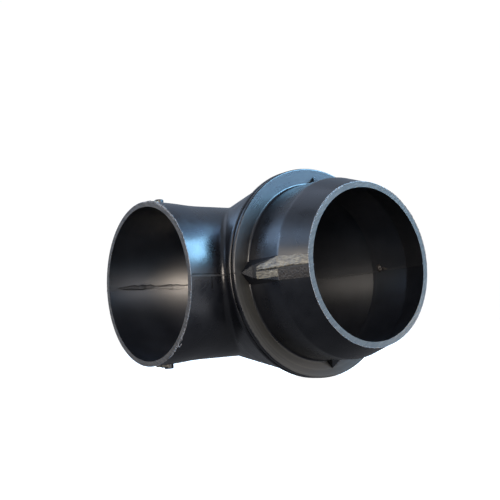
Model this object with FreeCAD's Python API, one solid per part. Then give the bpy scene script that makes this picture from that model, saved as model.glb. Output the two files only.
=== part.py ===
import FreeCAD, Part
import math
import os

# Moulded plastic duct elbow: a plain branch, a hood and a collared, tapered spigot.
# Sizes are in millimetres.  The origin is where the spigot axis (+X) meets the branch
# axis (-Y).  The XY plane is the weld plane: it holds both axes, and +Z stands square to it.

V = FreeCAD.Vector
ORIGIN = V(0, 0, 0)
SPIGOT_AXIS = V(1, 0, 0)
BRANCH_AXIS = V(0, 1, 0)

# Spigot: a straight land beside the collar, then a taper down to the cut mouth.
SPIGOT_LENGTH = 36.0
SPIGOT_LAND_LENGTH = 21.0
SPIGOT_LAND_RADIUS = 43.0
SPIGOT_MOUTH_RADIUS = 38.0
SPIGOT_WALL = 2.5
SPIGOT_ROOT_FILLET = 1.0
SPIGOT_RIDGE_ROUND = 5.0

# Collar: two flanges face to face, with a recessed weld between them.
COLLAR_FACE_X = 49.0
COLLAR_RADIUS = 51.5
FLANGE_THICKNESS = 2.2
FLANGE_WELD_THICKNESS = 0.9
FLANGE_WELD_RECESS = 1.1
FLANGE_RIM_ROUND = 0.7

# Elbow: a ball at the corner, a hood that widens to the collar and a branch.
BALL_RADIUS = 41.0
HOOD_END_RADIUS = 50.3
ELBOW_WALL = 2.3
BRANCH_REACH = 69.0
BRANCH_RADIUS = 38.7
SOCKET_RADIUS = 39.9
SOCKET_DEPTH = 10.0
SOCKET_BLEND_LENGTH = 14.0
SOCKET_BLEND_ROUND = 120.0
CROTCH_FILLET = 2.5

# Weld in the XY plane: a film between the halves that stands proud as a bead.
WELD_FILM = 0.3
BEAD_WIDTH = 0.9
BEAD_HEIGHT = 0.35
RIM_NOTCH_DEPTH = 0.8

# Gussets between the collar and the spigot land.  Angles are about the spigot axis from
# the top: the two plain gussets sit a little to the far side of the vertical.
GUSSET_HEIGHT = 4.6
PLAIN_GUSSET_WIDTH = 6.5
PLAIN_GUSSET_LENGTH = 4.2
TOP_GUSSET_ANGLE = -2
BOTTOM_GUSSET_ANGLE = 185
SEAM_GUSSET_WIDTH = 10.5
SEAM_GUSSET_STEP_LENGTH = 5.5
SEAM_GUSSET_STEP_HEIGHT = 2.1

# Gate stubs on the branch, at the top and the bottom.
STUB_DIAMETER = 4.6
STUB_HEIGHT = 2.0
STUB_SETBACK = 10.4
STUB_ROUND = 0.6

OVERSHOOT = 5.0    # how far a cutting body runs past the face that it opens
TOUCHING = 0.001   # two shapes nearer than this touch
CLOSING_LINE_ANGLE = 40


def rounded_outline(corners):
    """Closed outline in the XY plane from (x, y, corner radius) points."""
    edges = []
    starts = []
    ends = []
    count = len(corners)
    for index in range(count):
        x, y, radius = corners[index]
        corner = V(x, y, 0)
        before = V(corners[index - 1][0], corners[index - 1][1], 0)
        after = V(corners[(index + 1) % count][0], corners[(index + 1) % count][1], 0)
        back = (before - corner).normalize()
        ahead = (after - corner).normalize()
        if radius == 0:
            starts.append(corner)
            ends.append(corner)
            continue
        half_angle = back.getAngle(ahead) / 2
        tangent_length = radius / math.tan(half_angle)
        bisector = (back + ahead).normalize()
        middle = corner + bisector * (radius / math.sin(half_angle) - radius)
        starts.append(corner + back * tangent_length)
        ends.append(corner + ahead * tangent_length)
        edges.append(Part.Arc(starts[-1], middle, ends[-1]).toShape())
    for index in range(count):
        line_start = ends[index - 1]
        line_end = starts[index]
        edges.append(Part.LineSegment(line_start, line_end).toShape())
    return Part.Wire(Part.__sortEdges__(edges))


def turned(outline, axis):
    """Solid of revolution of an outline in the XY plane about an axis through the origin.

    The outline is turned first, so that the skin's closing line stays off the weld plane.
    """
    outline.rotate(ORIGIN, axis, CLOSING_LINE_ANGLE)
    return Part.Face(outline).revolve(ORIGIN, axis, 360)


def ring(start_x, end_x, inner_radius, outer_radius, rim_round=0):
    """Flat ring about the spigot axis, with its two outer edges rounded."""
    return turned(rounded_outline([
        (start_x, inner_radius, 0),
        (end_x, inner_radius, 0),
        (end_x, outer_radius, rim_round),
        (start_x, outer_radius, rim_round),
    ]), SPIGOT_AXIS)


def front_flange_back_x():
    """Back face of the spigot's flange."""
    return COLLAR_FACE_X - FLANGE_THICKNESS


def rear_flange_front_x():
    """Front face of the hood's flange, where the flange weld starts."""
    return front_flange_back_x() - FLANGE_WELD_THICKNESS


def hood_end_x():
    """Back face of the hood's flange, where the hood ends."""
    return rear_flange_front_x() - FLANGE_THICKNESS


def hood_solid(growth, end_x):
    """Ball and tangent cone about the spigot axis, grown by a thickness, up to end_x."""
    ball = BALL_RADIUS + growth
    rim_x = hood_end_x()
    rim = HOOD_END_RADIUS + growth
    touch_angle = math.atan2(rim, rim_x) + math.acos(ball / math.hypot(rim_x, rim))
    touch_x = ball * math.cos(touch_angle)
    touch_radius = ball * math.sin(touch_angle)
    behind = Part.makeBox(2 * ball, 4 * ball, 4 * ball, V(touch_x - 2 * ball, -2 * ball, -2 * ball))
    cap = Part.makeSphere(ball).common(behind)
    cone = turned(rounded_outline([
        (touch_x, 0, 0),
        (touch_x, touch_radius, 0),
        (rim_x, rim, 0),
        (end_x, rim, 0),
        (end_x, 0, 0),
    ]), SPIGOT_AXIS)
    return cap.fuse(cone).removeSplitter()


def branch_solid(growth, reach):
    """Branch about the branch axis, grown by a thickness: socket, blend, straight tube."""
    socket_end = BRANCH_REACH - SOCKET_DEPTH
    tube_start = socket_end - SOCKET_BLEND_LENGTH
    return turned(rounded_outline([
        (0, -reach, 0),
        (SOCKET_RADIUS + growth, -reach, 0),
        (SOCKET_RADIUS + growth, -socket_end, SOCKET_BLEND_ROUND),
        (BRANCH_RADIUS + growth, -tube_start, SOCKET_BLEND_ROUND),
        (BRANCH_RADIUS + growth, 0, 0),
        (0, 0, 0),
    ]), BRANCH_AXIS)


def crotch_edges(joined, hood, branch):
    """Edges of the joined solid that lie on the skin of both the hood and the branch."""
    found = []
    for edge in joined.Edges:
        if edge.Degenerated:
            continue
        middle = Part.Vertex(edge.valueAt((edge.FirstParameter + edge.LastParameter) / 2))
        from_hood = middle.distToShape(hood.Shells[0])[0]
        from_branch = middle.distToShape(branch.Shells[0])[0]
        if max(from_hood, from_branch) < TOUCHING:
            found.append(edge)
    return found


def elbow_outside(growth):
    """Hood and branch joined, with the crotch between them filleted."""
    hood = hood_solid(growth, rear_flange_front_x())
    branch = branch_solid(growth, BRANCH_REACH)
    joined = hood.fuse(branch)
    return joined.makeFillet(CROTCH_FILLET - growth, crotch_edges(joined, hood, branch))


def elbow_inside(growth):
    """Air space of the elbow, open through the socket and the flange."""
    hood = hood_solid(growth, rear_flange_front_x() + OVERSHOOT)
    branch = branch_solid(growth, BRANCH_REACH + OVERSHOOT)
    return hood.fuse(branch)


def gate_stub(side):
    """Short round stub left by a moulding gate, above (1) or below (-1) the branch."""
    foot = SOCKET_RADIUS - ELBOW_WALL / 2
    height = SOCKET_RADIUS + STUB_HEIGHT - foot
    centre = V(0, STUB_SETBACK - BRANCH_REACH, side * foot)
    stub = Part.makeCylinder(STUB_DIAMETER / 2, height, centre, V(0, 0, side))
    top_edges = [edge for edge in stub.Edges if abs(edge.BoundBox.Center.z) > SOCKET_RADIUS]
    return stub.makeFillet(STUB_ROUND, top_edges)


def elbow_wall():
    """Whole elbow moulding before it is parted: hood, branch, flange and stubs."""
    flange = ring(hood_end_x(), rear_flange_front_x(), HOOD_END_RADIUS - ELBOW_WALL,
                  COLLAR_RADIUS, FLANGE_RIM_ROUND)
    outside = elbow_outside(0).fuse([flange, gate_stub(1), gate_stub(-1)])
    return outside.cut(elbow_inside(-ELBOW_WALL))


def spigot_outline(growth):
    """Section of the spigot and its flange, with the spigot skin grown outwards."""
    ridge_x = COLLAR_FACE_X + SPIGOT_LAND_LENGTH
    mouth_x = COLLAR_FACE_X + SPIGOT_LENGTH
    outer = SPIGOT_LAND_RADIUS + growth
    inner = SPIGOT_LAND_RADIUS - SPIGOT_WALL - growth
    return rounded_outline([
        (front_flange_back_x(), inner, 0),
        (front_flange_back_x(), COLLAR_RADIUS, FLANGE_RIM_ROUND),
        (COLLAR_FACE_X, COLLAR_RADIUS, FLANGE_RIM_ROUND),
        (COLLAR_FACE_X, outer, SPIGOT_ROOT_FILLET),
        (ridge_x, outer, SPIGOT_RIDGE_ROUND),
        (mouth_x, SPIGOT_MOUTH_RADIUS + growth, 0),
        (mouth_x, SPIGOT_MOUTH_RADIUS - SPIGOT_WALL - growth, 0),
        (ridge_x, inner, SPIGOT_RIDGE_ROUND),
    ])


def gusset(side_steps, width, angle):
    """Roof-shaped gusset on the land, from (distance from the collar, height) steps.

    It is built on the top of the land, as wide there as given, and turned about the spigot
    axis by an angle.
    """
    sink = SPIGOT_WALL / 2
    base = SPIGOT_LAND_RADIUS - sink
    top = SPIGOT_LAND_RADIUS + GUSSET_HEIGHT
    start = COLLAR_FACE_X - FLANGE_THICKNESS / 2
    end = COLLAR_FACE_X + side_steps[-1][0]
    half_base = width / 2 * (GUSSET_HEIGHT + sink) / GUSSET_HEIGHT
    side = [V(start, -half_base, base), V(start, -half_base, top)]
    for distance, height in side_steps:
        side.append(V(COLLAR_FACE_X + distance, -half_base, SPIGOT_LAND_RADIUS + height))
    side.append(V(end, -half_base, base))
    roof = [V(start, -half_base, base), V(start, 0, top), V(start, half_base, base)]
    side_slab = Part.Face(Part.makePolygon(side + side[:1])).extrude(V(0, 2 * half_base, 0))
    roof_bar = Part.Face(Part.makePolygon(roof + roof[:1])).extrude(V(end - start, 0, 0))
    wedge = side_slab.common(roof_bar)
    wedge.rotate(ORIGIN, SPIGOT_AXIS, angle)
    return wedge


def gussets():
    """Plain gussets above and below, stepped and trimmed ones on the weld plane."""
    plain_steps = [(0, GUSSET_HEIGHT), (PLAIN_GUSSET_LENGTH, 0)]
    seam_steps = [
        (0, GUSSET_HEIGHT),
        (SEAM_GUSSET_STEP_LENGTH, SEAM_GUSSET_STEP_HEIGHT),
        (SPIGOT_LAND_LENGTH, 0),
    ]
    return [
        gusset(plain_steps, PLAIN_GUSSET_WIDTH, TOP_GUSSET_ANGLE),
        gusset(seam_steps, SEAM_GUSSET_WIDTH, 90),
        gusset(plain_steps, PLAIN_GUSSET_WIDTH, BOTTOM_GUSSET_ANGLE),
        gusset(seam_steps, SEAM_GUSSET_WIDTH, 270),
    ]


def spigot_wall():
    """Whole spigot moulding before it is parted: flange, land, taper and gussets."""
    return turned(spigot_outline(0), SPIGOT_AXIS).fuse(gussets())


def slab(bottom_z, top_z):
    """Block that holds everything between two heights."""
    reach = 2 * (BRANCH_REACH + COLLAR_FACE_X + SPIGOT_LENGTH)
    return Part.makeBox(2 * reach, 2 * reach, top_z - bottom_z, V(-reach, -reach, bottom_z))


def half(wall, side):
    """Upper (1) or lower (-1) half of a moulding, short of the weld plane by half the film."""
    height = 2 * COLLAR_RADIUS
    if side > 0:
        return wall.common(slab(WELD_FILM / 2, height))
    return wall.common(slab(-height, -WELD_FILM / 2))


def notch_cutter():
    """Ring that keeps the weld short of the collar's rims and leaves a notch there."""
    return ring(hood_end_x(), COLLAR_FACE_X, COLLAR_RADIUS - RIM_NOTCH_DEPTH,
                COLLAR_RADIUS + OVERSHOOT)


def socket_reamer():
    """Bore that clears the weld bead from the socket."""
    return Part.makeCylinder(SOCKET_RADIUS - ELBOW_WALL, SOCKET_DEPTH + OVERSHOOT,
                             V(0, -BRANCH_REACH - OVERSHOOT, 0), BRANCH_AXIS)


def weld_strips(grown_wall, halves):
    """Film between two halves with the beads that it forms inside and outside."""
    band = grown_wall.common(slab(-BEAD_WIDTH / 2, BEAD_WIDTH / 2))
    strips = band.cut(halves + [notch_cutter(), socket_reamer()])
    return [solid for solid in strips.Solids if solid.Volume > 1]


def elbow_welds(halves):
    """Weld strips of the elbow: (inside of the bend, outside of the bend)."""
    flange = ring(hood_end_x(), rear_flange_front_x(), HOOD_END_RADIUS - ELBOW_WALL,
                  COLLAR_RADIUS)
    skin = elbow_outside(BEAD_HEIGHT).cut(elbow_inside(-ELBOW_WALL - BEAD_HEIGHT))
    strips = weld_strips(skin.fuse(flange), halves)
    inner_bend = min(strips, key=lambda strip: strip.CenterOfMass.y)
    outer_bend = max(strips, key=lambda strip: strip.CenterOfMass.y)
    return inner_bend, outer_bend


def spigot_welds(halves):
    """Weld strips of the spigot: (branch side, far side)."""
    grown = turned(spigot_outline(BEAD_HEIGHT), SPIGOT_AXIS).fuse(gussets())
    strips = weld_strips(grown, halves)
    branch_side = min(strips, key=lambda strip: strip.CenterOfMass.y)
    far_side = max(strips, key=lambda strip: strip.CenterOfMass.y)
    return branch_side, far_side


def flange_weld():
    """Ring of weld between the two flanges, short of their rims."""
    return ring(rear_flange_front_x(), front_flange_back_x(), HOOD_END_RADIUS - ELBOW_WALL,
                COLLAR_RADIUS - FLANGE_WELD_RECESS)


def build():
    """All nodes by name."""
    elbow = elbow_wall()
    spigot = spigot_wall()
    elbow_halves = [half(elbow, 1), half(elbow, -1)]
    spigot_halves = [half(spigot, 1), half(spigot, -1)]
    inner_bend_weld, outer_bend_weld = elbow_welds(elbow_halves)
    spigot_branch_side_weld, spigot_far_side_weld = spigot_welds(spigot_halves)
    return {
        "elbow_shell_upper": elbow_halves[0],
        "elbow_shell_lower": elbow_halves[1],
        "spigot_shell_upper": spigot_halves[0],
        "spigot_shell_lower": spigot_halves[1],
        "flange_weld_ring": flange_weld(),
        "inner_bend_weld": inner_bend_weld,
        "outer_bend_weld": outer_bend_weld,
        "spigot_weld_branch_side": spigot_branch_side_weld,
        "spigot_weld_far_side": spigot_far_side_weld,
    }


os.makedirs("parts", exist_ok=True)
for name, shape in build().items():
    solids = shape.Solids
    box = shape.BoundBox
    print(name, "solids", len(solids), "valid", shape.isValid(), "volume", round(shape.Volume, 1),
          "x", round(box.XMin, 2), round(box.XMax, 2), "y", round(box.YMin, 2),
          round(box.YMax, 2), "z", round(box.ZMin, 2), round(box.ZMax, 2))
    shape.exportStep("parts/" + name + ".step")
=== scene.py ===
"""Looks of a moulded plastic duct elbow: branch, hood, collar and tapered hose spigot."""
import logging
import math
from collections.abc import Callable
from dataclasses import dataclass
from enum import Enum

import bmesh
import bpy
from bpy.types import Material, Node, NodeSocket, NodeTree
from mathutils import Matrix, Vector, noise


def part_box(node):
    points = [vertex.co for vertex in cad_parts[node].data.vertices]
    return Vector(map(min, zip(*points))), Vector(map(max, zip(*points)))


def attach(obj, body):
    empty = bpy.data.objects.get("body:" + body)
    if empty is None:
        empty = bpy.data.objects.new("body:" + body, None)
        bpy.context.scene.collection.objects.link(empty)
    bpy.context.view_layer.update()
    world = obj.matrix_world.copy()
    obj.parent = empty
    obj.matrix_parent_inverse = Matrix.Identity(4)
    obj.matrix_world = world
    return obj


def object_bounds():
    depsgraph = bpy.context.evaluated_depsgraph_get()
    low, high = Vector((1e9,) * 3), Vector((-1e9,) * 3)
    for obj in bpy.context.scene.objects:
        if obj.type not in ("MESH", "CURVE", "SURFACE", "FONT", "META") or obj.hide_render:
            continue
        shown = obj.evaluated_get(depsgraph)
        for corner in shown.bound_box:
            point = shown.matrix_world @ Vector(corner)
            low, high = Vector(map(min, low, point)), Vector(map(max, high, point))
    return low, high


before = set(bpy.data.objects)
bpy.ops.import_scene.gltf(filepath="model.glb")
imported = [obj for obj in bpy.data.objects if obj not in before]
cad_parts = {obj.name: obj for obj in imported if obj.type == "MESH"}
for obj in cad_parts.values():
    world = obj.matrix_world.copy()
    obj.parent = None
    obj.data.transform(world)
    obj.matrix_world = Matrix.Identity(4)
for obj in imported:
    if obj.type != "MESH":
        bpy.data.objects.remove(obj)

MM = 0.001
ROOT = "root"
UP = Vector((0, 0, 1))
log = logging.getLogger("duct_elbow")
cad_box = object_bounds()

# How far the floor lies under the elbow's lowest point.
FLOOR_GAP = 0.2 * MM
# Contrast of the rough values, and how far they swell or shrink a torn lump.
NOISE_GAIN = 1.6
CHIP_LEAST = 0.6
CHIP_SPREAD = 0.7
# Steps, spread and grain of the noise that places and sizes the crumbs on a sawn edge.
CRUMB_STEP = 0.37
CRUMB_SCATTER = 0.01
CRUMB_PLACE_GRAIN_MM = 1.7
CRUMB_SIZE_GRAIN_MM = 2.9
# Sockets of a mix node, which has one set for numbers and one for colours.
MIX_FACTOR = 0
MIX_FIRST_VALUE = 2
MIX_SECOND_VALUE = 3
MIX_FIRST_COLOUR = 6
MIX_SECOND_COLOUR = 7
MIX_VALUE = 0
MIX_COLOUR = 2


class Slot(Enum):
    """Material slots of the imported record."""

    SHELL = "shell_plastic"
    WELD = "weld_plastic"


class Axis(Enum):
    """Axes of the row frame, by their place in a vector."""

    X = 0
    Y = 1
    Z = 2


def linear(hex_colour: str) -> tuple[float, float, float, float]:
    """Turn an sRGB hex colour into linear values.

    Args:
        hex_colour: Six hex digits after a hash sign.

    Returns:
        Linear red, green, blue and an alpha of one.
    """
    values = []
    for start in (1, 3, 5):
        channel = int(hex_colour[start:start + 2], 16) / 255
        if channel <= 0.04045:
            values.append(channel / 12.92)
        else:
            values.append(((channel + 0.055) / 1.055) ** 2.4)
    return values[0], values[1], values[2], 1.0


def add_node(
    tree: NodeTree,
    kind: str,
    settings: dict[str, object] | None = None,
    inputs: dict[str | int, object] | None = None,
) -> Node:
    """Add a node with its settings, socket values and links.

    Args:
        tree: The node tree that gets the node.
        kind: The node's type, such as ShaderNodeTexNoise.
        settings: Attributes of the node itself.
        inputs: Socket name or number to a value, or to an output socket that feeds it.

    Returns:
        The new node.
    """
    node = tree.nodes.new(kind)
    for name, value in (settings or {}).items():
        setattr(node, name, value)
    for key, value in (inputs or {}).items():
        if isinstance(value, NodeSocket):
            tree.links.new(value, node.inputs[key])
        else:
            node.inputs[key].default_value = value
    return node


def ragged(place: Vector, grain_mm: float) -> float:
    """Rough value from 0 to 1 that changes from place to place.

    Args:
        place: Where it is read, in metres.
        grain_mm: Size of its lumps, in millimetres.

    Returns:
        The value, always the same at the same place.
    """
    value = NOISE_GAIN * noise.noise(place / (grain_mm * MM))
    return 0.5 + 0.5 * max(-1.0, min(1.0, value))


def window(value: float, start: float, end: float, fade: float) -> float:
    """One between two limits, falling to zero over a fade outside them.

    Args:
        value: What is tested.
        start: Lower limit.
        end: Upper limit.
        fade: Width of the fall on each side.

    Returns:
        A weight from 0 to 1.
    """
    outside = max(start - value, value - end, 0.0)
    return max(0.0, 1.0 - outside / fade)


def new_object(name: str, bm: bmesh.types.BMesh, material: Material) -> bpy.types.Object:
    """Turn a bmesh into an object of the scene.

    Args:
        name: The object's name.
        bm: The shape, in metres in the row frame. It is freed.
        material: Its finish.

    Returns:
        The new object.
    """
    mesh = bpy.data.meshes.new(name)
    bm.to_mesh(mesh)
    bm.free()
    mesh.materials.append(material)
    made = bpy.data.objects.new(name, mesh)
    bpy.context.scene.collection.objects.link(made)
    return made


def new_material(name: str) -> tuple[Material, NodeTree, Node]:
    """Add a material.

    Args:
        name: Its name.

    Returns:
        The material, its nodes and its shader.
    """
    material = bpy.data.materials.new(name)
    material.use_nodes = True
    tree = material.node_tree
    return material, tree, tree.nodes["Principled BSDF"]


def grown_verts(grown: dict[str, list]) -> list[bmesh.types.BMVert]:
    """Vertices that an extrusion has made."""
    return [item for item in grown["geom"] if isinstance(item, bmesh.types.BMVert)]


def add_piece(name: str, bm: bmesh.types.BMesh, material: Material) -> None:
    """Turn a bmesh into a piece that rides on the elbow's only body.

    Args:
        name: The piece's name.
        bm: The shape, in metres in the row frame. It is freed.
        material: Its finish.
    """
    bmesh.ops.recalc_face_normals(bm, faces=bm.faces)
    piece = new_object(name, bm, material)
    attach(piece, ROOT)
    log.info("piece %s: %d faces", name, len(piece.data.polygons))


def dress(names: tuple[str, ...], material: Material) -> None:
    """Give CAD nodes a finish.

    Args:
        names: The nodes' names.
        material: Their finish.
    """
    for name in names:
        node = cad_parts[name]
        node.data.materials.clear()
        node.data.materials.append(material)
        log.info("node %s: %s", name, material.name)


def chip(
    bm: bmesh.types.BMesh, place: Vector, size: Vector, grain_mm: float, subdivisions: int = 3,
) -> None:
    """Add a rough lump of torn plastic.

    Args:
        bm: The bmesh that gets it.
        place: Its centre.
        size: Its half sizes along the frame's axes.
        grain_mm: Grain of its roughness.
        subdivisions: How finely it is divided.
    """
    made = bmesh.ops.create_icosphere(bm, subdivisions=subdivisions, radius=1.0)["verts"]
    for vert in made:
        direction = vert.co.copy()
        spot = place + Vector(a * b for a, b in zip(direction, size))
        rough = CHIP_LEAST + CHIP_SPREAD * ragged(spot, grain_mm)
        vert.co = place + (spot - place) * rough


def radius_about(tree: NodeTree, parts: Node, axis: Axis) -> NodeSocket:
    """Distance from an axis of the frame.

    Args:
        tree: The material's nodes.
        parts: The node that holds the separated object coordinates.
        axis: The axis.

    Returns:
        The distance in metres.
    """
    across = [number for number in range(3) if number != axis.value]
    flat = add_node(tree, "ShaderNodeCombineXYZ", inputs={
        0: parts.outputs[across[0]], 1: parts.outputs[across[1]]})
    return add_node(tree, "ShaderNodeVectorMath", {"operation": "LENGTH"}, {
        0: flat.outputs["Vector"]}).outputs["Value"]


@dataclass(frozen=True)
class FlatFace:
    """Flat face of a moulding, square to an axis, and which way it looks."""

    axis: Axis
    position: float
    outward: int


@dataclass(frozen=True)
class Bore:
    """Hollow of a moulding out to the middle of its wall: a barrel, or a ball with no axis."""

    axis: Axis | None
    start: float
    end: float
    start_radius: float
    end_radius: float


@dataclass(frozen=True)
class MouldedPolypropylene:
    """Black polypropylene from a lathe-turned mould.

    The skin is semi-gloss with a faint orange peel, fine rings from the turned mould, soft sink
    waves that bend the highlights, a dusty bloom and a few hair scratches. The sawn end is paler
    and dull, because the teeth tear the plastic. Rings, scratches and saw marks are drawn about
    three times as coarse as real ones, which would be too fine to show.
    """

    name: str
    cut: FlatFace
    rings_along: Axis
    bores: tuple[Bore, ...]
    scuffed_and_lit: FlatFace | None = None
    colour: str = "#0B0D12"
    bloom_colour: str = "#14161B"
    cut_colour: str = "#4E4B47"
    cut_dark_colour: str = "#2C2B2A"
    scuff_and_light_colour: str = "#343431"
    ior: float = 1.49
    roughness: float = 0.25
    bloom_roughness: float = 0.38
    scratch_roughness: float = 0.55
    core_roughness: float = 0.38
    scuff_roughness: float = 0.4
    cut_roughness: float = 0.72
    peel_mm: float = 1.3
    peel_depth_mm: float = 0.012
    wave_mm: float = 17.0
    wave_depth_mm: float = 0.04
    ring_mm: float = 0.7
    ring_depth_mm: float = 0.02
    ring_drift_mm: float = 30.0
    bloom_mm: float = 11.0
    bloom_range: tuple[float, float] = (0.38, 0.72)
    scratch_width_mm: float = 0.35
    scratch_length_mm: float = 9.0
    scratch_depth_mm: float = 0.01
    scratch_range: tuple[float, float] = (0.70, 0.76)
    scratch_turn: tuple[float, float, float] = (0.5, 0.3, 0.2)
    saw_mark_mm: float = 0.45
    saw_mark_length_mm: float = 7.0
    saw_mark_depth_mm: float = 0.09
    saw_mark_range: tuple[float, float] = (0.35, 0.65)
    saw_mark_turn: tuple[float, float, float] = (0.45, 0.45, 0.0)
    face_reach_mm: float = 0.06
    scuff_reach_mm: float = 0.08
    # Scuff strength from the top of the collar face to its bottom: the stronger grey lower down is
    # painted light from below.
    painted_light_heights: tuple[float, float] = (12.0 * MM, -14.0 * MM)
    painted_light_strengths: tuple[float, float] = (0.25, 1.0)
    scuff_ring_range: tuple[float, float] = (0.3, 0.7)
    scuff_ring_strengths: tuple[float, float] = (0.35, 1.0)

    def lines(
        self, tree: NodeTree, place: NodeSocket,
        width_mm: float, length_mm: float, turn: tuple[float, float, float],
    ) -> NodeSocket:
        """Noise drawn out into lines.

        Args:
            tree: The material's nodes.
            place: Object coordinates.
            width_mm: Width of a line.
            length_mm: Length of a line.
            turn: Rotation of the lines out of the level, in radians.

        Returns:
            The noise value.
        """
        mapping = add_node(tree, "ShaderNodeMapping", {"vector_type": "TEXTURE"}, {
            "Vector": place, "Rotation": turn,
            "Scale": (length_mm * MM, length_mm * MM, width_mm * MM)})
        return add_node(tree, "ShaderNodeTexNoise", inputs={
            "Vector": mapping.outputs["Vector"], "Scale": 1.0, "Detail": 3.0,
        }).outputs["Fac"]

    def rings(self, tree: NodeTree, place: NodeSocket) -> NodeSocket:
        """Fine rings round the turning axis, on its barrel and on its faces.

        Args:
            tree: The material's nodes.
            place: Object coordinates.

        Returns:
            The rings' height.
        """
        parts = add_node(tree, "ShaderNodeSeparateXYZ", inputs={"Vector": place})
        along = self.rings_along.value
        slow = add_node(tree, "ShaderNodeMath", {"operation": "MULTIPLY"}, {
            0: parts.outputs[Axis.Z.value], 1: self.ring_mm / self.ring_drift_mm})
        spot = add_node(tree, "ShaderNodeCombineXYZ", inputs={
            0: parts.outputs[along], 1: radius_about(tree, parts, self.rings_along),
            2: slow.outputs["Value"]})
        return add_node(tree, "ShaderNodeTexNoise", inputs={
            "Vector": spot.outputs["Vector"], "Scale": 1 / (self.ring_mm * MM), "Detail": 4.0,
        }).outputs["Fac"]

    def cut_mask(self, tree: NodeTree, place: NodeSocket) -> NodeSocket:
        """One on the sawn end and zero elsewhere.

        Args:
            tree: The material's nodes.
            place: Object coordinates.

        Returns:
            The mask.
        """
        parts = add_node(tree, "ShaderNodeSeparateXYZ", inputs={"Vector": place})
        test = "GREATER_THAN" if self.cut.outward > 0 else "LESS_THAN"
        edge = self.cut.position - self.cut.outward * self.face_reach_mm * MM
        return add_node(tree, "ShaderNodeMath", {"operation": test}, {
            0: parts.outputs[self.cut.axis.value], 1: edge}).outputs["Value"]

    def core_mask(self, tree: NodeTree, place: NodeSocket) -> NodeSocket:
        """One on the walls that the mould's core has shaped and zero elsewhere.

        Args:
            tree: The material's nodes.
            place: Object coordinates.

        Returns:
            The mask.
        """
        parts = add_node(tree, "ShaderNodeSeparateXYZ", inputs={"Vector": place})
        mask = None
        for bore in self.bores:
            if bore.axis is None:
                along = parts.outputs[Axis.X.value]
                radius = add_node(tree, "ShaderNodeVectorMath", {"operation": "LENGTH"}, {
                    0: place}).outputs["Value"]
            else:
                along = parts.outputs[bore.axis.value]
                radius = radius_about(tree, parts, bore.axis)
            limit = add_node(tree, "ShaderNodeMapRange", inputs={
                "Value": along, "From Min": bore.start, "From Max": bore.end,
                "To Min": bore.start_radius, "To Max": bore.end_radius}).outputs["Result"]
            inside = add_node(tree, "ShaderNodeMath", {"operation": "LESS_THAN"}, {
                0: radius, 1: limit}).outputs["Value"]
            middle = (bore.start + bore.end) / 2
            near = add_node(tree, "ShaderNodeMath", {"operation": "COMPARE"}, {
                0: along, 1: middle, 2: abs(bore.end - bore.start) / 2}).outputs["Value"]
            both = add_node(tree, "ShaderNodeMath", {"operation": "MULTIPLY"}, {
                0: inside, 1: near}).outputs["Value"]
            if mask is None:
                mask = both
            else:
                mask = add_node(tree, "ShaderNodeMath", {"operation": "MAXIMUM"}, {
                    0: mask, 1: both}).outputs["Value"]
        return mask

    def scuff_and_light_mask(self, tree: NodeTree, place: NodeSocket, rings: NodeSocket) -> NodeSocket:
        """Strength of the ring scuffs and painted light on the flat face that rubs against a hose.

        Args:
            tree: The material's nodes.
            place: Object coordinates.
            rings: The turning rings, which the scuffs follow.

        Returns:
            A value from 0 to 1.
        """
        parts = add_node(tree, "ShaderNodeSeparateXYZ", inputs={"Vector": place})
        near = add_node(tree, "ShaderNodeMath", {"operation": "COMPARE"}, {
            0: parts.outputs[self.scuffed_and_lit.axis.value], 1: self.scuffed_and_lit.position,
            2: self.scuff_reach_mm * MM}).outputs["Value"]
        mask = near
        for value, (start, end), (faint, strong) in (
            (parts.outputs[Axis.Z.value], self.painted_light_heights, self.painted_light_strengths),
            (rings, self.scuff_ring_range, self.scuff_ring_strengths),
        ):
            share = add_node(tree, "ShaderNodeMapRange", inputs={
                "Value": value, "From Min": start, "From Max": end,
                "To Min": faint, "To Max": strong}).outputs["Result"]
            mask = add_node(tree, "ShaderNodeMath", {"operation": "MULTIPLY"}, {
                0: mask, 1: share}).outputs["Value"]
        return mask

    def material(self) -> Material:
        """Build the node material.

        Returns:
            The material, with each kind of wear laid over the one before.
        """
        material, tree, shader = new_material(self.name)
        shader.inputs["IOR"].default_value = self.ior
        place = add_node(tree, "ShaderNodeTexCoord").outputs["Object"]
        waves, peel, dust = (
            add_node(tree, "ShaderNodeTexNoise", inputs={
                "Vector": place, "Scale": 1 / (size_mm * MM), "Detail": 4.0}).outputs["Fac"]
            for size_mm in (self.wave_mm, self.peel_mm, self.bloom_mm))
        hairs = self.lines(
            tree, place, self.scratch_width_mm, self.scratch_length_mm, self.scratch_turn)
        teeth = self.lines(
            tree, place, self.saw_mark_mm, self.saw_mark_length_mm, self.saw_mark_turn)
        bloom, scratch, pale = (
            add_node(tree, "ShaderNodeMapRange", inputs={
                "Value": value, "From Min": low, "From Max": high}).outputs["Result"]
            for value, (low, high) in (
                (dust, self.bloom_range), (hairs, self.scratch_range),
                (teeth, self.saw_mark_range)))
        rings = self.rings(tree, place)
        core = self.core_mask(tree, place)
        cut = self.cut_mask(tree, place)
        skin, sawn = (
            add_node(tree, "ShaderNodeMix", {"data_type": "RGBA"}, {
                MIX_FACTOR: factor, MIX_FIRST_COLOUR: linear(first),
                MIX_SECOND_COLOUR: linear(second)}).outputs[MIX_COLOUR]
            for factor, first, second in (
                (bloom, self.colour, self.bloom_colour),
                (pale, self.cut_dark_colour, self.cut_colour)))
        colour_layers = [(cut, sawn)]
        dull_layers = [
            (scratch, self.scratch_roughness), (core, self.core_roughness),
            (cut, self.cut_roughness)]
        if self.scuffed_and_lit is not None:
            # Grey of the ring scuffs, with painted light from below on the lower collar face.
            scuff_and_light = self.scuff_and_light_mask(tree, place, rings)
            colour_layers.insert(-1, (scuff_and_light, linear(self.scuff_and_light_colour)))
            dull_layers.insert(-1, (scuff_and_light, self.scuff_roughness))
        for factor, over in colour_layers:
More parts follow.
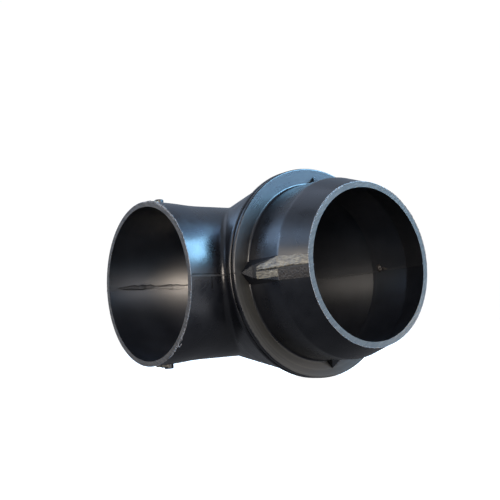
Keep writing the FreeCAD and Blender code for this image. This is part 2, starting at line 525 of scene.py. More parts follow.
            skin = add_node(tree, "ShaderNodeMix", {"data_type": "RGBA"}, {
                MIX_FACTOR: factor, MIX_FIRST_COLOUR: skin, MIX_SECOND_COLOUR: over,
            }).outputs[MIX_COLOUR]
        dull = add_node(tree, "ShaderNodeMapRange", inputs={
            "Value": bloom, "To Min": self.roughness, "To Max": self.bloom_roughness,
        }).outputs["Result"]
        for factor, over in dull_layers:
            dull = add_node(tree, "ShaderNodeMix", {"data_type": "FLOAT"}, {
                MIX_FACTOR: factor, MIX_FIRST_VALUE: dull, MIX_SECOND_VALUE: over,
            }).outputs[MIX_VALUE]
        saw_marks = add_node(tree, "ShaderNodeMath", {"operation": "MULTIPLY"}, {
            0: cut, 1: teeth}).outputs["Value"]
        tree.links.new(skin, shader.inputs["Base Color"])
        tree.links.new(dull, shader.inputs["Roughness"])
        normal = None
        for height, depth_mm in (
            (waves, self.wave_depth_mm), (rings, self.ring_depth_mm),
            (peel, self.peel_depth_mm), (scratch, self.scratch_depth_mm),
            (saw_marks, self.saw_mark_depth_mm),
        ):
            inputs = {"Height": height, "Strength": 1.0, "Distance": depth_mm * MM}
            if normal is not None:
                inputs["Normal"] = normal
            normal = add_node(tree, "ShaderNodeBump", inputs=inputs).outputs["Normal"]
        tree.links.new(normal, shader.inputs["Normal"])
        return material


@dataclass(frozen=True)
class TornPolypropylene:
    """Black polypropylene where it was torn, trimmed or melted: dull, and paler in streaks."""

    name: str
    colour: str = "#343331"
    # Paler streak tone; the torn default is partly a painted highlight of the warm window.
    streak_colour: str = "#8C887B"
    ior: float = 1.49
    specular_level: float = 0.5
    roughness: float = 0.42
    rough_roughness: float = 0.6
    grain_mm: float = 0.6
    depth_mm: float = 0.06
    streak_mm: tuple[float, float, float] = (2.6, 1.2, 0.55)
    colour_range: tuple[float, float] = (0.3, 0.75)
    rough_range: tuple[float, float] = (0.35, 0.7)

    def material(self) -> Material:
        """Build the node material.

        Returns:
            The material.
        """
        material, tree, shader = new_material(self.name)
        shader.inputs["IOR"].default_value = self.ior
        shader.inputs["Specular IOR Level"].default_value = self.specular_level
        place = add_node(tree, "ShaderNodeTexCoord").outputs["Object"]
        grain = add_node(tree, "ShaderNodeTexNoise", inputs={
            "Vector": place, "Scale": 1 / (self.grain_mm * MM), "Detail": 4.0})
        drawn = add_node(tree, "ShaderNodeMapping", {"vector_type": "TEXTURE"}, {
            "Vector": place, "Scale": [size * MM for size in self.streak_mm]})
        streak = add_node(tree, "ShaderNodeTexNoise", inputs={
            "Vector": drawn.outputs["Vector"], "Scale": 1.0, "Detail": 4.0}).outputs["Fac"]
        colour = add_node(tree, "ShaderNodeValToRGB", inputs={"Fac": streak})
        for element, position, shade in zip(
            colour.color_ramp.elements, self.colour_range, (self.colour, self.streak_colour),
        ):
            element.position = position
            element.color = linear(shade)
        dull = add_node(tree, "ShaderNodeMapRange", inputs={
            "Value": streak, "From Min": self.rough_range[0], "From Max": self.rough_range[1],
            "To Min": self.roughness, "To Max": self.rough_roughness})
        bump = add_node(tree, "ShaderNodeBump", inputs={
            "Height": grain.outputs["Fac"], "Strength": 1.0, "Distance": self.depth_mm * MM})
        tree.links.new(colour.outputs["Color"], shader.inputs["Base Color"])
        tree.links.new(dull.outputs["Result"], shader.inputs["Roughness"])
        tree.links.new(bump.outputs["Normal"], shader.inputs["Normal"])
        return material


@dataclass(frozen=True)
class BurrArc:
    """Stretch of a sawn edge with a higher burr, in degrees from +Z."""

    start: float
    end: float
    fade: float
    height_mm: float


@dataclass(frozen=True)
class CrumbRun:
    """Stretch of a sawn edge with torn crumbs, in degrees from +Z."""

    start: float
    end: float
    spacing: float
    size_mm: float


@dataclass(frozen=True)
class SawnMouth:
    """Mouth that a saw has cut off square, with a ragged burr and torn crumbs on its edge."""

    centre: Vector
    outward: Vector
    radius: float
    burr_height_mm: float
    burr_arcs: tuple[BurrArc, ...]
    crumb_runs: tuple[CrumbRun, ...]
    burr_steps: int = 720
    burr_wall: float = 0.14 * MM
    burr_sunk: float = 0.1 * MM
    burr_root: float = 0.35 * MM
    burr_width: float = 0.38 * MM
    burr_lean: float = 0.16 * MM
    burr_curl: float = 0.25
    burr_grain_mm: float = 1.1
    crumb_sunk: float = 0.05 * MM
    crumb_thickness: float = 0.45
    crumb_stretch: float = 0.6
    crumb_grain_mm: float = 0.5
    least_share: float = 0.25

    @property
    def side(self) -> Vector:
        """Direction in the mouth's plane that angles turn towards from +Z."""
        return UP.cross(self.outward)

    def burr_lift(self, angle: float) -> float:
        """Full height of the burr.

        Args:
            angle: Place on the edge, in degrees from +Z.

        Returns:
            The height in metres.
        """
        height_mm = self.burr_height_mm
        for arc in self.burr_arcs:
            height_mm += arc.height_mm * window(angle, arc.start, arc.end, arc.fade)
        return height_mm * MM

    def build_burr(self, name: str, finish: Material) -> None:
        """Build the burr: a closed thin band round the outer edge that leans outwards.

        Args:
            name: The piece's name.
            finish: Its finish.
        """
        bm = bmesh.new()
        bmesh.ops.create_circle(
            bm, cap_ends=False, segments=self.burr_steps, radius=self.radius - self.burr_sunk)
        turn = Matrix((self.side, self.outward.cross(self.side), self.outward)).transposed()
        bmesh.ops.rotate(bm, verts=bm.verts, matrix=turn)
        bmesh.ops.translate(
            bm, verts=bm.verts, vec=self.centre - self.outward * self.burr_root)
        for vert in grown_verts(bmesh.ops.extrude_edge_only(bm, edges=bm.edges[:])):
            radial = (vert.co - self.centre).normalized()
            angle = math.degrees(math.atan2(radial.dot(self.side), radial.z))
            share = self.least_share
            share += (1 - self.least_share) * ragged(vert.co, self.burr_grain_mm)
            lift = self.burr_lift(angle) * share
            vert.co += self.outward * (self.burr_width + self.burr_curl * lift)
            vert.co += radial * (self.burr_lean + lift)
        bmesh.ops.recalc_face_normals(bm, faces=bm.faces)
        bmesh.ops.solidify(bm, geom=bm.faces[:], thickness=self.burr_wall)
        add_piece(name, bm, finish)

    def build_crumbs(self, name: str, finish: Material) -> None:
        """Build the torn crumbs that hang on the outer edge.

        Args:
            name: The piece's name.
            finish: Its finish.
        """
        bm = bmesh.new()
        for run in self.crumb_runs:
            for step in range(int((run.end - run.start) / run.spacing)):
                spot = Vector((step * CRUMB_STEP, self.radius, run.start)) * CRUMB_SCATTER
                turn = run.start + run.spacing * (step + ragged(spot, CRUMB_PLACE_GRAIN_MM))
                angle = math.radians(turn)
                radial = self.side * math.sin(angle) + UP * math.cos(angle)
                along = Vector(abs(part) for part in radial.cross(self.outward))
                large = self.least_share
                large += (1 - self.least_share) * ragged(spot, CRUMB_SIZE_GRAIN_MM)
                place = self.centre + radial * (self.radius - self.crumb_sunk)
                place -= self.outward * self.crumb_sunk
                size = Vector((1, 1, 1)) * self.crumb_thickness + along * self.crumb_stretch
                chip(bm, place, size * run.size_mm * large * MM, self.crumb_grain_mm, 2)
        add_piece(name, bm, finish)


@dataclass
class ElbowMoulding:
    """Branch, ball, hood and rear flange: CAD shells with a sawn mouth and torn gates."""

    mouth_radius: float = 39.9 * MM
    mouth_wall_radius: float = 38.6 * MM
    branch_wall_radius: float = 37.5 * MM
    ball_wall_radius: float = 39.8 * MM
    ball_reach: float = 42.0 * MM
    hood_wall_radius: float = 49.1 * MM
    hood_length: float = 43.7 * MM
    gate_setback: float = 10.4 * MM
    gate_shift: float = 0.3 * MM
    gate_tear_reaches: tuple[float, float] = (2.2 * MM, 3.6 * MM)
    gate_tear_slope: float = 0.75
    gate_tear_half_width: float = 1.7 * MM
    gate_tear_half_height: float = 1.3 * MM
    gate_tear_grain_mm: float = 1.6
    gate_crest_shift_mm: tuple[float, float, float] = (-0.6, 2.2, 0.9)
    gate_crest_size_mm: tuple[float, float, float] = (1.3, 1.5, 1.1)
    gate_crest_grain_mm: float = 1.0
    curl_radius: float = 1.15 * MM
    curl_thread_radius: float = 0.16 * MM
    curl_turn: float = math.radians(310)
    curl_lean: float = math.radians(35)
    curl_stretch: tuple[float, float, float] = (0.8, 1.0, 2.0)
    curl_place_mm: tuple[float, float, float] = (28.2, -0.15, -29.4)
    crack_corners_mm: tuple[tuple[tuple[float, float], tuple[float, float]], ...] = (
        ((-68.2, 0.35), (-49.5, 0.95)),
        ((-57.5, -6.0), (-57.1, 0.3)),
    )
    crack_squares: int = 60
    crack_sunk: float = 0.3 * MM
    crack_proud: float = 0.04 * MM
    crack_stray: float = 0.25 * MM
    crack_grain_mm: float = 2.5
    branch_radius: float = 38.7 * MM
    branch_flare: float = 1.2 * MM
    flare_length: float = 10.0 * MM
    flare_fade: float = 14.0 * MM
    bead_length: float = 56.0 * MM
    bead_radius: float = 1.5 * MM
    bead_flatness: float = 0.55
    bead_tip: float = 0.12
    bead_grain_mm: float = 3.0
    bead_place_mm: tuple[float, float, float] = (-36.75, -36.0, 0.9)

    def __post_init__(self) -> None:
        """Read the mouth's plane from the frame and set what depends on it."""
        lowest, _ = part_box("elbow_shell_upper")
        centre = Vector((0, lowest.y, 0))
        self.mouth = SawnMouth(
            centre, Vector((0, -1, 0)), self.mouth_radius, 0.07,
            (BurrArc(14, 60, 8, 0.8), BurrArc(60, 125, 15, 0.22), BurrArc(126, 152, 6, 0.6)),
            (CrumbRun(3, 48, 1.3, 0.75), CrumbRun(48, 125, 2.3, 0.38),
             CrumbRun(125, 150, 1.6, 0.6), CrumbRun(-160, 0, 7.0, 0.3)))
        branch = Bore(Axis.Y, lowest.y, 0.0, self.mouth_wall_radius, self.branch_wall_radius)
        hood = Bore(Axis.X, 0.0, self.hood_length, self.ball_wall_radius, self.hood_wall_radius)
        ball = Bore(None, -self.ball_reach, self.ball_reach,
                    self.ball_wall_radius, self.ball_wall_radius)
        # From a lathe-turned mould: black and half glossy, with rings round the branch.
        self.skin = MouldedPolypropylene(
            "elbow_moulded_polypropylene", FlatFace(Axis.Y, lowest.y, -1), Axis.Y,
            (branch, hood, ball))

    def build_curl(self, whitened: Material) -> None:
        """Build the curled thread of plastic that the saw left hanging on the mouth.

        Args:
            whitened: Its finish.
        """
        bm = bmesh.new()
        ring = bmesh.ops.create_circle(
            bm, cap_ends=True, segments=8, radius=self.curl_thread_radius)["verts"]
        bmesh.ops.translate(bm, verts=ring, vec=(self.curl_radius, 0, 0))
        bmesh.ops.spin(bm, geom=bm.faces[:], cent=(0, 0, 0), axis=(0, 1, 0),
                       angle=self.curl_turn, steps=30, use_merge=False)
        bmesh.ops.scale(bm, verts=bm.verts, vec=self.curl_stretch)
        bmesh.ops.rotate(bm, verts=bm.verts, matrix=Matrix.Rotation(self.curl_lean, 3, "Y"))
        place = self.mouth.centre + Vector(self.curl_place_mm) * MM
        bmesh.ops.translate(bm, verts=bm.verts, vec=place)
        add_piece("branch_mouth_curl", bm, whitened)

    def build_gate_tears(self, torn: Material) -> None:
        """Build the torn ramps between both gate stubs and the mouth.

        Args:
            torn: Their finish.
        """
        bm = bmesh.new()
        gate = self.mouth.centre.y + self.gate_setback
        for side, reach in zip((1, -1), self.gate_tear_reaches):
            foot = Vector((self.gate_shift, gate - self.gate_tear_slope * reach,
                           side * self.mouth_radius))
            ramp = Vector((self.gate_tear_half_width, reach, self.gate_tear_half_height))
            chip(bm, foot, ramp, self.gate_tear_grain_mm)
            shift = Vector(self.gate_crest_shift_mm) * MM
            shift.z *= side
            crest = Vector(self.gate_crest_size_mm) * MM
            chip(bm, foot + shift, crest, self.gate_crest_grain_mm)
        add_piece("gate_tears", bm, torn)

    def build_crack_shadows(self, crack_shadow: Material) -> None:
        """Build dark strips of painted shadow on the weld's open edges, on the branch's inner
        side.

        Args:
            crack_shadow: Their finish.
        """
        mouth = self.mouth.centre.y
        bm = bmesh.new()
        for low, high in self.crack_corners_mm:
            made = bmesh.ops.create_grid(
                bm, x_segments=self.crack_squares, y_segments=self.crack_squares, size=0.5,
            )["verts"]
            faces = list(dict.fromkeys(face for vert in made for face in vert.link_faces))
            top = grown_verts(bmesh.ops.extrude_face_region(bm, geom=faces))
            for verts, lift in ((made, -self.crack_sunk), (top, self.crack_proud)):
                for vert in verts:
                    y = (low[0] + (high[0] - low[0]) * (vert.co.x + 0.5)) * MM
                    z = (low[1] + (high[1] - low[1]) * (vert.co.y + 0.5)) * MM
                    rough = ragged(Vector((y, 0.01, z)), self.crack_grain_mm) - 0.5
                    flared = window(y, mouth, mouth + self.flare_length, self.flare_fade)
                    radius = self.branch_radius + self.branch_flare * flared + lift
                    x = math.sqrt(radius ** 2 - z * z)
                    vert.co = Vector((x, y, z + rough * self.crack_stray))
        add_piece("inner_bend_crack_shadows", bm, crack_shadow)

    def build_inner_bead(self, melted: Material) -> None:
        """Build the low bead of weld that shows on the far wall inside the branch.

        Args:
            melted: Its finish.
        """
        bm = bmesh.new()
        bmesh.ops.create_cone(
            bm, cap_ends=True, segments=16, radius1=self.bead_radius, radius2=self.bead_radius,
            depth=self.bead_length)
        long_edges = [edge for edge in bm.edges if edge.calc_length() > self.bead_length / 2]
        bmesh.ops.subdivide_edges(bm, edges=long_edges, cuts=90, use_grid_fill=True)
        bmesh.ops.rotate(bm, verts=bm.verts, matrix=Matrix.Rotation(math.radians(90), 3, "X"))
        for vert in bm.verts:
            share = abs(vert.co.y) / (self.bead_length / 2)
            rough = 0.75 + 0.5 * ragged(vert.co, self.bead_grain_mm)
            swell = max(self.bead_tip, 1 - share ** 4) * rough
            vert.co.x *= self.bead_flatness * swell
            vert.co.z *= swell
        bmesh.ops.translate(bm, verts=bm.verts, vec=Vector(self.bead_place_mm) * MM)
        add_piece("branch_inner_bead", bm, melted)

    def build(
        self, torn: Material, whitened: Material,
        melted: Material, crack_shadow: Material,
    ) -> None:
        """Build and dress the whole moulding.

        Args:
            torn: Finish of the torn gates.
            whitened: Finish of what the saw tore at the mouth.
            melted: Finish of the weld.
            crack_shadow: Finish of the weld's open edges.
        """
        dress(("elbow_shell_upper", "elbow_shell_lower"), self.skin.material())
        self.mouth.build_burr("branch_mouth_burr", whitened)
        self.mouth.build_crumbs("branch_mouth_crumbs", whitened)
        self.build_curl(whitened)
        self.build_gate_tears(torn)
        self.build_crack_shadows(crack_shadow)
        self.build_inner_bead(melted)


@dataclass
class SpigotMoulding:
    """Front flange, land and taper: CAD shells with a sawn mouth and a torn seam flash."""

    mouth_radius: float = 38.0 * MM
    land_radius: float = 43.0 * MM
    land_length: float = 21.0 * MM
    collar_face: float = 49.0 * MM
    bore_start: float = 40.0 * MM
    land_wall_radius: float = 41.7 * MM
    mouth_wall_radius: float = 36.7 * MM
    gusset_height: float = 4.6 * MM
    gusset_width: float = 10.5 * MM
    gusset_step_length: float = 5.5 * MM
    gusset_step_height: float = 2.1 * MM
    flash_offset: float = 8.2 * MM
    flash_setback: float = 0.25 * MM
    flash_overlap: float = 0.2 * MM
    flash_ramp: float = 3.0 * MM
    flash_fade: float = 3.2 * MM
    flash_sunk: float = 0.1 * MM
    flash_roughness: float = 0.12 * MM
    flash_grain_mm: float = 0.7
    edge_stray: float = 0.7 * MM
    edge_grain_mm: float = 2.4
    upper_edge: float = 0.42 * MM
    upper_reach_start: float = 2.0 * MM
    upper_reach_growth: float = 3.4 * MM
    upper_reach_fall: float = 0.9 * MM
    upper_reach_stray: float = 0.7
    upper_thickness: float = 1.0 * MM
    upper_curl: float = 1.2
    upper_lip: float = 0.62
    upper_lip_rise: float = 6.0
    lower_edge: float = -0.3 * MM
    lower_reach: float = -3.6 * MM
    lower_thickness: float = 0.6 * MM
    lower_thinning: float = 0.6
    trim_reach: float = -5.3 * MM
    trim_thickness: float = 0.2 * MM
    trim_thinning: float = 0.5
    lump_place_mm: tuple[float, float, float] = (51.6, 40.3, 1.2)
    lump_size_mm: tuple[float, float, float] = (1.5, 0.9, 2.1)
    tail_shift_mm: tuple[float, float, float] = (3.2, 0.0, -0.9)
    tail_size_mm: tuple[float, float, float] = (2.6, 0.7, 0.9)
    lump_grain_mm: float = 1.4
    tail_grain_mm: float = 1.2

    def __post_init__(self) -> None:
        """Read the mouth's plane from the frame and set what depends on it."""
        _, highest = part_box("spigot_shell_upper")
        self.ridge = self.collar_face + self.land_length
        self.mouth = SawnMouth(
            Vector((highest.x, 0, 0)), Vector((1, 0, 0)), self.mouth_radius, 0.05,
            (BurrArc(30, 82, 12, 0.4), BurrArc(-82, -30, 12, 0.4)),
            (CrumbRun(-85, -20, 1.6, 0.5), CrumbRun(-175, -85, 3.1, 0.32),
             CrumbRun(-20, 185, 7.0, 0.3)))
        land = Bore(
            Axis.X, self.bore_start, self.ridge, self.land_wall_radius, self.land_wall_radius)
        taper = Bore(Axis.X, self.ridge, highest.x, self.land_wall_radius, self.mouth_wall_radius)
        # The same black plastic: rings round the spigot, grey scuffs and painted light low on the
        # collar's face.
        self.skin = MouldedPolypropylene(
            "spigot_moulded_polypropylene", FlatFace(Axis.X, highest.x, 1), Axis.X,
            (land, taper), FlatFace(Axis.X, self.collar_face, 1), cut_colour="#454340")

    def skin_radius(self, x: float) -> float:
        """Outer radius of the land or the taper at a place along the spigot axis."""
        share = max(0.0, x - self.ridge) / (self.mouth.centre.x - self.ridge)
        return self.land_radius + (self.mouth_radius - self.land_radius) * share

    def seam_surface(self, x: float, z: float) -> float:
        """Distance from the spigot axis to the skin or the gusset at the branch-side seam.

        Args:
            x: Place along the spigot axis.
            z: Height over the seam.

        Returns:
            The distance, along -Y.
        """
        skin = math.sqrt(self.skin_radius(x) ** 2 - z * z)
        if x > self.ridge:
            return skin
        step_end = self.collar_face + self.gusset_step_length
        slope = max(0.0, self.ridge - x) / (self.ridge - step_end)
        top = self.land_radius + self.gusset_step_height * slope
        roof = self.land_radius + self.gusset_height * (1 - 2 * abs(z) / self.gusset_width)
        return max(skin, min(top, roof))

    def torn_plate(
        self, name: str, finish: Material, span: tuple[float, float],
        edge: Callable[[float], float], reach: Callable[[float], float],
        lift: Callable[[float, float], float],
    ) -> None:
        """Build a torn layer of plastic over the seam.

        Args:
            name: The piece's name.
            finish: Its finish.
            span: Where it starts and ends along the spigot axis.
            edge: Height of its torn edge, for a place along the axis.
            reach: Height of its far side, for a place along the axis.
            lift: Its thickness, for a place along the axis and a share from edge to far side.
        """
        bm = bmesh.new()
        bmesh.ops.create_grid(bm, x_segments=190, y_segments=24, size=0.5)
        floor = bm.verts[:]
        top = grown_verts(bmesh.ops.extrude_face_region(bm, geom=bm.faces[:]))
        for verts, outer in ((floor, False), (top, True)):
            for vert in verts:
                x = span[0] + (span[1] - span[0]) * (vert.co.x + 0.5)
                share = vert.co.y + 0.5
                z = edge(x) + (reach(x) - edge(x)) * share
                out = self.seam_surface(x, z) - self.flash_sunk
                if outer:
                    rough = ragged(Vector((x, z, 0.05)), self.flash_grain_mm)
                    out += self.flash_sunk + lift(x, share) + rough * self.flash_roughness
                vert.co = Vector((x, -out, z))
        add_piece(name, bm, finish)

    def build_seam_flash(self, torn: Material, trimmed: Material) -> None:
        """Build both torn sides of the seam, with the open slit between them.

        Args:
            torn: Finish of the upper side and of the gusset's lower side.
            trimmed: Finish of the strip that a knife has cut flat towards the mouth.
        """
        start = self.collar_face + self.flash_offset
        end = self.mouth.centre.x - self.flash_setback

        def wander(x: float, row: float) -> float:
            """How far a torn edge strays at a place along the axis."""
            return (ragged(Vector((x, row, 0)), self.edge_grain_mm) - 0.5) * self.edge_stray

        def lower_edge(x: float) -> float:
            """Torn edge of both lower layers, which face the slit."""
            return self.lower_edge + wander(x, 0.015)

        def upper_reach(x: float) -> float:
            """Top of the upper layer, highest where the taper starts.

            Args:
                x: Place along the spigot axis.

            Returns:
                The height over the seam.
            """
            share = min(1.0, (x - start) / (self.ridge - start))
            fall = max(0.0, (x - self.ridge) / (self.mouth.centre.x - self.ridge))
            reach = self.upper_reach_start + self.upper_reach_growth * share
            stray = self.upper_reach_stray * wander(x, 0.09)
            return reach - self.upper_reach_fall * fall + stray

        def upper_lift(x: float, share: float) -> float:
            """Thickness of the upper layer, which curls up beside the slit.

            Args:
                x: Place along the spigot axis.
                share: Share of the way from the slit to the far side.

            Returns:
                The thickness.
            """
            middle = window(x, start + self.flash_ramp, end - self.flash_ramp, self.flash_fade)
            rough = 0.75 + 0.25 * ragged(Vector((x, 0.03, share / 400)), 3)
            lip = min(1.0, self.upper_lip + self.upper_lip_rise * share)
            return self.upper_thickness * middle * (1 - share) ** self.upper_curl * rough * lip

        self.torn_plate(
            "spigot_seam_flash_upper", torn, (start, end),
            lambda x: self.upper_edge + wander(x, 0.01), upper_reach, upper_lift)
        self.torn_plate(
            "spigot_seam_flash_lower", torn, (start, self.ridge), lower_edge,
            lambda x: self.lower_reach,
            lambda x, share: self.lower_thickness * (1 - self.lower_thinning * share))
        self.torn_plate(
            "spigot_seam_trim", trimmed, (self.ridge - self.flash_overlap, end), lower_edge,
            lambda x: self.trim_reach,
            lambda x, share: self.trim_thickness * (1 - self.trim_thinning * share))

    def build_inner_flash(self, trimmed: Material) -> None:
        """Build the lump of weld that was pushed into the bore beside the collar.

        Args:
            trimmed: Its finish.
        """
        bm = bmesh.new()
        foot = Vector(self.lump_place_mm) * MM
        tail = foot + Vector(self.tail_shift_mm) * MM
        chip(bm, foot, Vector(self.lump_size_mm) * MM, self.lump_grain_mm)
        chip(bm, tail, Vector(self.tail_size_mm) * MM, self.tail_grain_mm)
        add_piece("spigot_inner_flash", bm, trimmed)

    def build(
        self, torn: Material, whitened: Material,
        trimmed: Material,
    ) -> None:
        """Build and dress the whole moulding.

        Args:
            torn: Finish of the torn flash.
            whitened: Finish of what the saw tore at the mouth.
            trimmed: Finish of what a knife has cut.
        """
        dress(("spigot_shell_upper", "spigot_shell_lower"), self.skin.material())
        self.mouth.build_burr("spigot_mouth_burr", whitened)
        self.mouth.build_crumbs("spigot_mouth_crumbs", whitened)
        self.build_seam_flash(torn, trimmed)
        self.build_inner_flash(trimmed)


@dataclass
class WeldSeams:
    """Beads between the halves and the ring of weld between the flanges."""

    nodes: tuple[str, ...] = (
        "flange_weld_ring", "inner_bend_weld", "outer_bend_weld",
        "spigot_weld_branch_side", "spigot_weld_far_side",
    )

    def build(self, melted: Material) -> None:
        """Dress every weld in the melted finish."""
        dress(self.nodes, melted)


@dataclass(frozen=True)
class SoftBox:
    """Flat soft light that faces the elbow."""

    name: str
    azimuth: float
    elevation: float
    distance: float
    width: float
    height: float
    colour: str
    radiance: float

    @property
    def power(self) -> float:
        """Watts that give the box its radiance."""
        return self.radiance * math.pi * self.width * self.height


@dataclass
class Studio:
    """Pale floor, white surround, soft lights and the camera."""

    centre: Vector
    floor_height: float
    surround_radius: float = 2.6
    floor_radius: float = 2.5
    surround_glow: float = 1.02
    floor_glow: float = 0.96
    floor_shade: float = 0.5
    stage_roughness: float = 0.9
    room_strength: float = 0.8
    room_stops: tuple[tuple[float, str], ...] = (
        (0.0, "#6A6C72"), (0.46, "#7E8188"), (0.56, "#96A4B8"), (1.0, "#BAC4D4"))
    beam_target_mm: tuple[float, float, float] = (-37.0, -17.0, -5.0)
    beam_azimuth: float = math.radians(13)
    beam_drop: float = 0.06
    beam_distance: float = 0.5
    beam_angle: float = math.radians(5.5)
    beam_radius: float = 0.012
    beam_power: float = 52.0
    beam_colour: str = "#FFEEDA"
    lens_mm: float = 58.52
    sensor_mm: float = 36.0
    camera_place: tuple[float, float, float] = (0.34347, -0.26989, -0.02721)
    camera_look: tuple[float, float, float] = (-0.78602, 0.60991, 0.10094)
    camera_right: tuple[float, float, float] = (0.60563, 0.79246, -0.07226)
    lights: tuple[SoftBox, ...] = (
        SoftBox("key_sky_light", 52, 34, 1.0, 0.95, 0.42, "#98D4FF", 30.0),
        SoftBox("low_sky_light", 41, 13, 1.0, 0.50, 0.24, "#9ACBFF", 5.4),
        SoftBox("horizon_light", 40, -1, 1.0, 0.60, 0.22, "#FFF6EC", 1.5),
        SoftBox("floor_bounce", 45, -26, 1.0, 0.90, 0.50, "#F4F6FF", 1.0),
        SoftBox("left_sky_light", -150, 27, 1.0, 1.10, 0.42, "#AAD0FF", 3.2),
        SoftBox("left_strip_light", -126, 25, 1.0, 0.17, 0.40, "#B8D8FF", 7.0),
        SoftBox("front_sky_light", -104, 37, 1.0, 0.50, 0.34, "#AECBF2", 3.0),
        SoftBox("warm_window", -103, 14, 1.0, 0.40, 0.24, "#FFF4E6", 8.0),
        SoftBox("upper_sky_light", -180, 62, 1.0, 0.60, 0.50, "#D0E0FF", 0.8),
        SoftBox("camera_side_window", -38, 8, 1.0, 0.55, 0.42, "#FFF1E2", 14.0),
        SoftBox("right_window", 10, 3, 1.0, 0.36, 0.50, "#F6F4F8", 9.0),
        SoftBox("key_halo", 56, 52, 1.0, 0.90, 0.20, "#86B6F2", 3.2),
    )

    def build_world(self) -> None:
        """Surround the elbow with a dim room, cooler and brighter above than below."""
        world = bpy.data.worlds.new("dim_room")
        bpy.context.scene.world = world
        world.use_nodes = True
        tree = world.node_tree
        way = add_node(tree, "ShaderNodeTexCoord").outputs["Generated"]
        parts = add_node(tree, "ShaderNodeSeparateXYZ", inputs={"Vector": way})
        height = add_node(tree, "ShaderNodeMapRange", inputs={
            "Value": parts.outputs["Z"], "From Min": -1.0, "From Max": 1.0})
        ramp = add_node(tree, "ShaderNodeValToRGB", inputs={"Fac": height.outputs["Result"]})
        elements = ramp.color_ramp.elements
        first, *inner, last = self.room_stops
        for element, (position, colour) in zip(elements, (first, last)):
            element.position = position
            element.color = linear(colour)
        for position, colour in inner:
            elements.new(position).color = linear(colour)
        background = tree.nodes["Background"]
        tree.links.new(ramp.outputs["Color"], background.inputs["Color"])
        background.inputs["Strength"].default_value = self.room_strength

    def hang(
        self, light: bpy.types.Light, target: Vector, way: Vector, distance: float,
    ) -> bpy.types.Object:
        """Hang a lamp so that it shines on a target.

        Args:
            light: Its light.
            target: The point that it faces.
            way: Unit vector from the target to the lamp.
            distance: How far off it hangs.

        Returns:
            The lamp.
        """
        lamp = bpy.data.objects.new(light.name, light)
        lamp.location = target + way * distance
        lamp.rotation_mode = "QUATERNION"
        lamp.rotation_quaternion = (-way).to_track_quat("-Z", "Y")
        bpy.context.scene.collection.objects.link(lamp)
        return lamp

    def build_lights(self) -> None:
        """Place every soft box and turn it to the elbow."""
        for box in self.lights:
            azimuth = math.radians(box.azimuth)
            elevation = math.radians(box.elevation)
            way = Vector((math.cos(azimuth) * math.cos(elevation),
                          math.sin(azimuth) * math.cos(elevation), math.sin(elevation)))
            light = bpy.data.lights.new(box.name, "AREA")
            light.shape = "RECTANGLE"
            light.size = box.width
            light.size_y = box.height
            light.color = linear(box.colour)[:3]
            light.energy = box.power
            self.hang(light, self.centre, way, box.distance).visible_camera = False

    def build_beam(self) -> None:
        """Shine a narrow warm beam through the spigot onto the inner wall of the bend."""
        way = Vector((math.cos(self.beam_azimuth), math.sin(self.beam_azimuth), -self.beam_drop))
        way.normalize()
        light = bpy.data.lights.new("bore_beam", "SPOT")
        light.color = linear(self.beam_colour)[:3]
        light.energy = self.beam_power
        light.spot_size = self.beam_angle
        light.spot_blend = 1.0
        light.shadow_soft_size = self.beam_radius
        self.hang(light, Vector(self.beam_target_mm) * MM, way, self.beam_distance)

    def stage_piece(self, name: str, bm: bmesh.types.BMesh, glow: float, shade: float) -> None:
        """Add a white stage piece that no reflection shows.

        Args:
            name: Its name.
            bm: Its shape, freed here.
            glow: Strength of its own white light.
            shade: Grey value of its own colour, on which the lamps fall.
        """
        material, _, shader = new_material(name)
        shader.inputs["Base Color"].default_value = (shade, shade, shade, 1)
        shader.inputs["Roughness"].default_value = self.stage_roughness
        shader.inputs["Specular IOR Level"].default_value = 0.0
        shader.inputs["Emission Color"].default_value = (1, 1, 1, 1)
        shader.inputs["Emission Strength"].default_value = glow
        piece = new_object(name, bm, material)
        piece.visible_glossy = False
        piece.visible_diffuse = False
        piece.visible_shadow = False

    def build_stage(self) -> None:
        """Build the pale floor and the white surround."""
        floor = bmesh.new()
        bmesh.ops.create_circle(floor, cap_ends=True, segments=96, radius=self.floor_radius)
        bmesh.ops.translate(floor, verts=floor.verts, vec=(0, 0, self.floor_height))
        self.stage_piece("pale_floor", floor, self.floor_glow, self.floor_shade)
        surround = bmesh.new()
        bmesh.ops.create_icosphere(surround, subdivisions=4, radius=self.surround_radius)
        self.stage_piece("white_surround", surround, self.surround_glow, 0.0)

    def build_colours(self) -> None:
        """Show colours as they are, so that white stays white."""
        bpy.context.scene.view_settings.view_transform = "Standard"

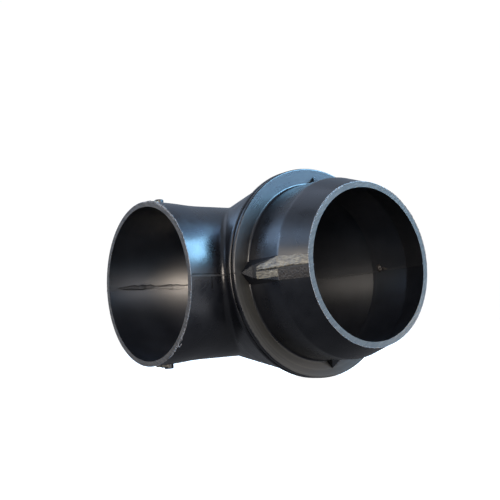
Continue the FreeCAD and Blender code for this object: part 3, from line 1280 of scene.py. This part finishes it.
    def build_camera(self) -> None:
        """Place the camera low in front, between the branch's mouth and the spigot's."""
        data = bpy.data.cameras.new("camera")
        data.sensor_width = self.sensor_mm
        data.lens = self.lens_mm
        camera = bpy.data.objects.new("camera", data)
        bpy.context.scene.collection.objects.link(camera)
        bpy.context.scene.camera = camera
        look = Vector(self.camera_look).normalized()
        right = Vector(self.camera_right).normalized()
        up = right.cross(look).normalized()
        turn = Matrix((right, up, -look)).transposed().to_4x4()
        camera.matrix_world = Matrix.Translation(self.camera_place) @ turn

    def build(self) -> None:
        """Build everything round the elbow."""
        self.build_world()
        self.build_lights()
        self.build_beam()
        self.build_stage()
        self.build_colours()
        self.build_camera()


def main() -> None:
    """Build the elbow's looks and its studio."""
    logging.basicConfig(level=logging.INFO)
    # Torn open: dull and rough; pale warm streaks of stretched plastic, partly a painted
    # highlight.
    torn = TornPolypropylene("torn_polypropylene_painted_sheen").material()
    # Drawn thin until it whitened: a light cool grey fringe round the black mouths.
    whitened = TornPolypropylene(
        "stress_whitened_polypropylene", "#4A4C50", "#9A9DA2", grain_mm=0.4).material()
    # Sliced by a knife: flatter and darker than what was torn, with a satin sheen.
    trimmed = TornPolypropylene(
        "knife_trimmed_polypropylene", "#171617", "#2A2725", grain_mm=1.0, depth_mm=0.03,
    ).material()
    # Melted and set again: nearly as black as the skin, but uneven, so its highlights break up.
    melted = TornPolypropylene(
        "melted_polypropylene", "#131416", "#232427", grain_mm=0.9, depth_mm=0.04).material()
    # Painted shadow of the open seam: a dull, nearly black strip that reads as a thin black line.
    crack_shadow = TornPolypropylene(
        "crack_shadow_polypropylene", "#050506", "#0B0B0C", specular_level=0.12,
        roughness=0.75, rough_roughness=0.9, depth_mm=0.03).material()
    ElbowMoulding().build(torn, whitened, melted, crack_shadow)
    log.info("elbow moulding done")
    SpigotMoulding().build(torn, whitened, trimmed)
    log.info("spigot moulding done")
    WeldSeams().build(melted)
    log.info("weld seams done")
    lowest, highest = cad_box
    Studio((lowest + highest) / 2, lowest.z - FLOOR_GAP).build()


if __name__ == "__main__":
    main()
